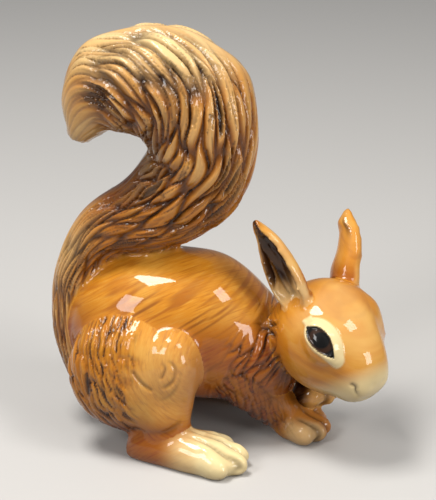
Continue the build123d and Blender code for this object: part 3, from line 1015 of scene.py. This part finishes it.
def cut_apart(clay):
    """Cuts the clay into its castings along their seams, as separate objects named after the castings."""
    mesh = clay.mesh
    for name, share in clay.paint.items():
        mesh.attributes.new(name, "FLOAT", "POINT").data.foreach_set("value", share.astype(np.float32))
    mesh.attributes.new("lie", "FLOAT_VECTOR", "POINT").data.foreach_set(
        "vector", clay.out.astype(np.float32).ravel()
    )
    corners = read(mesh.polygons, "vertices", 4, np.int32)
    owner = clay.reach[corners].mean(1).argmin(1)
    for name in castings:
        mesh.materials.append(bpy.data.materials.new(f"cut_{name}"))
    mesh.polygons.foreach_set("material_index", owner.astype(np.int32))
    whole = bpy.data.objects.new("clay", mesh)
    bpy.context.scene.collection.objects.link(whole)
    bpy.context.view_layer.objects.active = whole
    whole.select_set(True)
    bpy.ops.object.mode_set(mode="EDIT")
    bpy.ops.mesh.separate(type="MATERIAL")
    bpy.ops.object.mode_set(mode="OBJECT")
    pieces = [thing for thing in bpy.context.scene.objects if thing.name.startswith("clay")]
    for piece in pieces:
        piece.name = f"glazed_{owner_of(piece)}"
        piece.data.name = piece.name
        piece.hide_render = True
    for name in castings:
        bpy.data.materials.remove(bpy.data.materials[f"cut_{name}"])


def owner_of(piece):
    """The casting that a cut piece is, by the name of the material on its faces."""
    return piece.data.materials[piece.data.polygons[0].material_index].name.removeprefix("cut_")


# How far a casting's edge turns inwards at a seam before it is closed
SKIRT = 0.8 * MM


def finish_casting(node, material):
    """Closes a cut casting at its seams, shaded smoothly across them, and puts it in its node's place."""
    piece = bpy.data.objects[f"glazed_{node}"]
    mesh = piece.data
    bm = bmesh.new()
    bm.from_mesh(mesh)
    outward = bm.verts.layers.float_vector["lie"]
    rim = [edge for edge in bm.edges if edge.is_boundary]
    skirt = bmesh.ops.extrude_edge_only(bm, edges=rim)["geom"]
    for vertex in skirt:
        if isinstance(vertex, bmesh.types.BMVert):
            vertex.co -= SKIRT * vertex[outward]
    rim = [edge for edge in bm.edges if edge.is_boundary]
    made = bmesh.ops.holes_fill(bm, edges=rim, sides=0)["faces"]
    bmesh.ops.triangulate(bm, faces=made)
    for face in bm.faces:
        face.smooth = True
        face.material_index = 0
    bm.to_mesh(mesh)
    bm.free()
    lie = read(mesh.attributes["lie"].data, "vector", 3)
    mesh.normals_split_custom_set_from_vertices(lie)
    mesh.attributes.remove(mesh.attributes["lie"])
    mesh.materials.clear()
    mesh.materials.append(material)
    piece.hide_render = False
    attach(piece, "root")
    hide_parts(node)


# Glazes


class Wire:
    """A shader socket that can stand in a Python expression. Each operator adds a Math node."""

    def __init__(self, recipe, socket):
        self.recipe = recipe
        self.socket = socket

    def _math(self, operation, first, second):
        node = self.recipe.node("ShaderNodeMath", {"operation": operation}, {0: first, 1: second})
        return Wire(self.recipe, node.outputs[0])

    def __add__(self, other):
        return self._math("ADD", self, other)

    __radd__ = __add__

    def __sub__(self, other):
        return self._math("SUBTRACT", self, other)

    def __rsub__(self, other):
        return self._math("SUBTRACT", other, self)

    def __mul__(self, other):
        return self._math("MULTIPLY", self, other)

    __rmul__ = __mul__


class Recipe:
    """The nodes of one glaze."""

    def __init__(self, name):
        self.material = bpy.data.materials.new(name)
        self.material.use_nodes = True
        self.tree = self.material.node_tree
        self.shader = self.tree.nodes["Principled BSDF"]

    def node(self, kind, settings, sockets):
        """A node of a kind, with its settings made first and then its sockets set or linked."""
        made = self.tree.nodes.new(kind)
        for name, value in settings.items():
            setattr(made, name, value)
        for name, value in sockets.items():
            self.join(made.inputs[name], value)
        return made

    def join(self, socket, value):
        if isinstance(value, Wire):
            self.tree.links.new(value.socket, socket)
        else:
            socket.default_value = value

    def paint(self, name):
        """What is painted on the piece's own vertices under a name."""
        return Wire(self, self.node("ShaderNodeAttribute", {"attribute_name": name}, {}).outputs["Fac"])

    def mix(self, share, first, second):
        """One colour laid over another by a share."""
        made = self.node(
            "ShaderNodeMix",
            {"data_type": "RGBA", "clamp_factor": True},
            {0: share, 6: first, 7: second},
        )
        return Wire(self, made.outputs[2])

    def cloud(self, scale, detail):
        """Noise in the figure's own place, with features per metre."""
        place = self.node("ShaderNodeTexCoord", {}, {}).outputs["Object"]
        made = self.node(
            "ShaderNodeTexNoise",
            {"noise_dimensions": "3D"},
            {"Vector": Wire(self, place), "Scale": scale, "Detail": detail, "Roughness": 0.55},
        )
        return Wire(self, made.outputs["Fac"])

    def streaks(self, across, along):
        """Noise drawn out along the strokes of the paint brush, with features per millimetre each way."""
        place = self.node(
            "ShaderNodeCombineXYZ", {}, {0: self.paint("across") * across, 1: self.paint("along") * along}
        )
        made = self.node(
            "ShaderNodeTexNoise",
            {"noise_dimensions": "2D"},
            {"Vector": Wire(self, place.outputs[0]), "Scale": 1.0, "Detail": 3.0, "Roughness": 0.6},
        )
        return Wire(self, made.outputs["Fac"])

    def band(self, value, low, high):
        """0 below low, 1 above high."""
        made = self.node(
            "ShaderNodeMapRange",
            {"interpolation_type": "SMOOTHSTEP"},
            {"Value": value, "From Min": low, "From Max": high},
        )
        return Wire(self, made.outputs["Result"])


def opaque(colour):
    """A colour that nothing shows through."""
    return (*colour, 1.0)


def glaze(name, colours):
    """Hand-brushed colours under a clear glossy glaze."""
    painted = f"painted_{name}"
    if painted in bpy.data.materials:
        return bpy.data.materials[painted]
    recipe = Recipe(painted)
    patches = recipe.cloud(55, 4)
    brushed = recipe.streaks(0.9, 0.09)
    layers = (
        (0.6 * recipe.band(patches, 0.48, 0.72), colours.honey),
        (0.5 * recipe.band(brushed, 0.5, 0.75), colours.honey),
        (0.4 * (1 - recipe.band(brushed, 0.25, 0.5)), colours.russet),
        (recipe.paint("russet") * (0.4 + 1.2 * brushed), colours.russet),
        (recipe.paint("cream") * (0.9 + 0.2 * patches), colours.cream),
        # The shade and groove paints in umber carry painted shade as well as the dark streaks and grooves
        (recipe.paint("shade") * (0.6 + 0.6 * brushed), colours.umber),
        (recipe.paint("groove") * (0.7 + 0.6 * brushed), colours.umber),
    )
    body = opaque(colours.amber)
    for share, colour in layers:
        body = recipe.mix(share, body, opaque(colour))
    eye = recipe.mix(recipe.paint("iris"), opaque(colours.pupil), opaque(colours.iris))
    body = recipe.mix(recipe.paint("eye"), body, eye)
    waves = recipe.node(
        "ShaderNodeBump",
        {},
        {"Strength": 0.18, "Distance": 0.5 * MM, "Height": recipe.cloud(160, 2)},
    )
    sockets = {
        "Base Color": body,
        "Roughness": 0.45,
        "Specular IOR Level": 0.1,
        "Coat Weight": 1.0,
        "Coat Roughness": colours.gloss,
        "Coat IOR": 1.4,
        "Normal": Wire(recipe, waves.outputs["Normal"]),
    }
    for socket, value in sockets.items():
        recipe.join(recipe.shader.inputs[socket], value)
    return recipe.material


# Operators


class SQUIRREL_OT_clay(bpy.types.Operator):
    """Model the whole squirrel in clay and cut it into its castings"""

    bl_idname = "squirrel.clay"
    bl_label = "Model and cut the clay"

    def execute(self, context):
        settings = context.scene.squirrel_clay
        clay = soft_master(settings)
        sculpt_brush(clay, settings)
        sculpt_haunches(clay, settings)
        sculpt_coat(clay)
        sculpt_head(clay)
        sculpt_ears(clay)
        sculpt_feet(clay)
        settle(clay)
        cut_apart(clay)
        return {"FINISHED"}


def glaze_castings(context, nodes):
    """Finishes castings in the glaze of their slots."""
    for node in nodes:
        finish_casting(node, glaze(slots[node], context.scene.squirrel_glaze))
    return {"FINISHED"}


class SQUIRREL_OT_torso(bpy.types.Operator):
    """Finish and glaze the body"""

    bl_idname = "squirrel.torso"
    bl_label = "Torso"

    def execute(self, context):
        return glaze_castings(context, ("torso",))


class SQUIRREL_OT_head(bpy.types.Operator):
    """Finish and glaze the head"""

    bl_idname = "squirrel.head"
    bl_label = "Head"

    def execute(self, context):
        return glaze_castings(context, ("head",))


class SQUIRREL_OT_ears(bpy.types.Operator):
    """Finish and glaze the two ears"""

    bl_idname = "squirrel.ears"
    bl_label = "Ears"

    def execute(self, context):
        return glaze_castings(context, pair("ear"))


class SQUIRREL_OT_brush(bpy.types.Operator):
    """Finish and glaze the tail"""

    bl_idname = "squirrel.brush"
    bl_label = "Tail"

    def execute(self, context):
        return glaze_castings(context, ("tail",))


class SQUIRREL_OT_haunches(bpy.types.Operator):
    """Finish and glaze the two haunches"""

    bl_idname = "squirrel.haunches"
    bl_label = "Haunches"

    def execute(self, context):
        return glaze_castings(context, pair("haunch"))


class SQUIRREL_OT_hind_feet(bpy.types.Operator):
    """Finish and glaze the two hind feet"""

    bl_idname = "squirrel.hind_feet"
    bl_label = "Hind feet"

    def execute(self, context):
        return glaze_castings(context, pair("hind_foot"))


class SQUIRREL_OT_forelegs(bpy.types.Operator):
    """Finish and glaze the two forelegs"""

    bl_idname = "squirrel.forelegs"
    bl_label = "Forelegs"

    def execute(self, context):
        return glaze_castings(context, pair("foreleg"))


# The stage

# Where the camera looks, the turn and rise in degrees that it looks from, and how far away it is
CAMERA_TARGET = Vector((-1.1, 0, 77.2)) * MM
CAMERA_TURN = 8
CAMERA_RISE = 22
CAMERA_AWAY = 640 * MM
SENSOR = 36.0
# The picture's height in pixels, and its pixels to a millimetre at the target
PICTURE_HEIGHT = 500
PIXELS_PER_MM = 2.56
FLOOR_RADIUS = 6.0
ROOM_COLOUR = (0.95, 0.97, 1.0)
# The windows: turn and rise in degrees, distance, width and height in metres, the setting that powers each,
# its share of that power, and the blue in its light
WINDOWS = {
    "overhead": (-60, 72, 0.9, 0.34, 0.26, "key", 1.0, 0.95),
    "front": (-38, 34, 1.1, 0.30, 0.40, "fill", 1.0, 0.96),
    "knee": (64, 50, 1.0, 0.30, 0.30, "fill", 0.8, 0.95),
    "right": (58, 12, 1.0, 0.30, 0.30, "fill", 0.75, 0.95),
}


def towards(turn, rise):
    """The way from the squirrel to a place at a turn and a rise in degrees."""
    turn, rise = radians(turn), radians(rise)
    return Vector((cos(rise) * sin(turn), -cos(rise) * cos(turn), sin(rise)))


def add_floor(colour, bounce):
    """A wide, plain, matt floor, pale where it is seen or mirrored."""
    bm = bmesh.new()
    bmesh.ops.create_circle(bm, cap_ends=True, segments=96, radius=FLOOR_RADIUS)
    mesh = bpy.data.meshes.new("floor")
    bm.to_mesh(mesh)
    bm.free()
    floor = bpy.data.objects.new("floor", mesh)
    recipe = Recipe("floor_paper")
    path = recipe.node("ShaderNodeLightPath", {}, {}).outputs
    seen = sum(Wire(recipe, path[f"Is {kind} Ray"]) for kind in ("Camera", "Glossy", "Transmission"))
    recipe.join(recipe.shader.inputs["Base Color"], recipe.mix(seen, opaque(bounce), opaque(colour)))
    recipe.join(recipe.shader.inputs["Roughness"], 0.9)
    recipe.join(recipe.shader.inputs["Specular IOR Level"], 0.0)
    mesh.materials.append(recipe.material)
    bpy.context.scene.collection.objects.link(floor)


def add_window(name, direction, away, width, height, power, colour):
    """A soft window light that looks at the squirrel."""
    lamp = bpy.data.lights.new(name, "AREA")
    lamp.shape = "RECTANGLE"
    lamp.size = width
    lamp.size_y = height
    lamp.energy = power
    lamp.color = colour
    window = bpy.data.objects.new(name, lamp)
    window.location = CAMERA_TARGET + direction * away
    window.rotation_euler = direction.to_track_quat("Z", "Y").to_euler()
    bpy.context.scene.collection.objects.link(window)


def add_camera():
    """The camera, at the angle that the squirrel is shown from."""
    lens = bpy.data.cameras.new("camera")
    lens.sensor_fit = "VERTICAL"
    lens.sensor_height = SENSOR
    lens.lens = SENSOR * CAMERA_AWAY / (PICTURE_HEIGHT / PIXELS_PER_MM * MM)
    camera = bpy.data.objects.new("camera", lens)
    back = towards(CAMERA_TURN, CAMERA_RISE)
    camera.location = CAMERA_TARGET + back * CAMERA_AWAY
    camera.rotation_euler = back.to_track_quat("Z", "Y").to_euler()
    bpy.context.scene.collection.objects.link(camera)
    bpy.context.scene.camera = camera


class SQUIRREL_OT_stage(bpy.types.Operator):
    """Lay the floor and set up the light and the camera"""

    bl_idname = "squirrel.stage"
    bl_label = "Stage"

    def execute(self, context):
        settings = context.scene.squirrel_stage
        add_floor(settings.floor, settings.bounce)
        for name, (turn, rise, away, width, height, light, share, blue) in WINDOWS.items():
            power = share * getattr(settings, light)
            add_window(f"window_{name}", towards(turn, rise), away, width, height, power, (1.0, 0.98, blue))
        world = bpy.data.worlds.new("room")
        world.use_nodes = True
        room = world.node_tree.nodes["Background"]
        room.inputs["Color"].default_value = opaque(ROOM_COLOUR)
        room.inputs["Strength"].default_value = settings.room
        context.scene.world = world
        add_camera()
        context.scene.view_settings.view_transform = "Standard"
        return {"FINISHED"}


steps = (
    SQUIRREL_OT_clay,
    SQUIRREL_OT_torso,
    SQUIRREL_OT_head,
    SQUIRREL_OT_ears,
    SQUIRREL_OT_brush,
    SQUIRREL_OT_haunches,
    SQUIRREL_OT_hind_feet,
    SQUIRREL_OT_forelegs,
    SQUIRREL_OT_stage,
)
groups = {"squirrel_clay": SquirrelClay, "squirrel_glaze": SquirrelGlaze, "squirrel_stage": SquirrelStage}


class SQUIRREL_PT_sidebar(bpy.types.Panel):
    """The squirrel's sizes, colours and steps"""

    bl_idname = "SQUIRREL_PT_sidebar"
    bl_label = "Squirrel"
    bl_space_type = "VIEW_3D"
    bl_region_type = "UI"
    bl_category = "Squirrel"

    def draw(self, context):
        for name, group in groups.items():
            for field in group.__annotations__:
                self.layout.prop(getattr(context.scene, name), field)
        for step in steps:
            self.layout.operator(step.bl_idname)


def register():
    for made in (*groups.values(), *steps, SQUIRREL_PT_sidebar):
        bpy.utils.register_class(made)
    for name, group in groups.items():
        setattr(bpy.types.Scene, name, PointerProperty(type=group))


def unregister():
    for name in groups:
        delattr(bpy.types.Scene, name)
    for made in (SQUIRREL_PT_sidebar, *reversed(steps), *reversed(groups.values())):
        bpy.utils.unregister_class(made)


def main():
    """Models and glazes the castings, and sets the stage."""
    register()
    bpy.ops.squirrel.clay()
    bpy.ops.squirrel.torso()
    bpy.ops.squirrel.head()
    bpy.ops.squirrel.ears()
    bpy.ops.squirrel.brush()
    bpy.ops.squirrel.haunches()
    bpy.ops.squirrel.hind_feet()
    bpy.ops.squirrel.forelegs()
    bpy.ops.squirrel.stage()


if __name__ == "__main__":
    main()
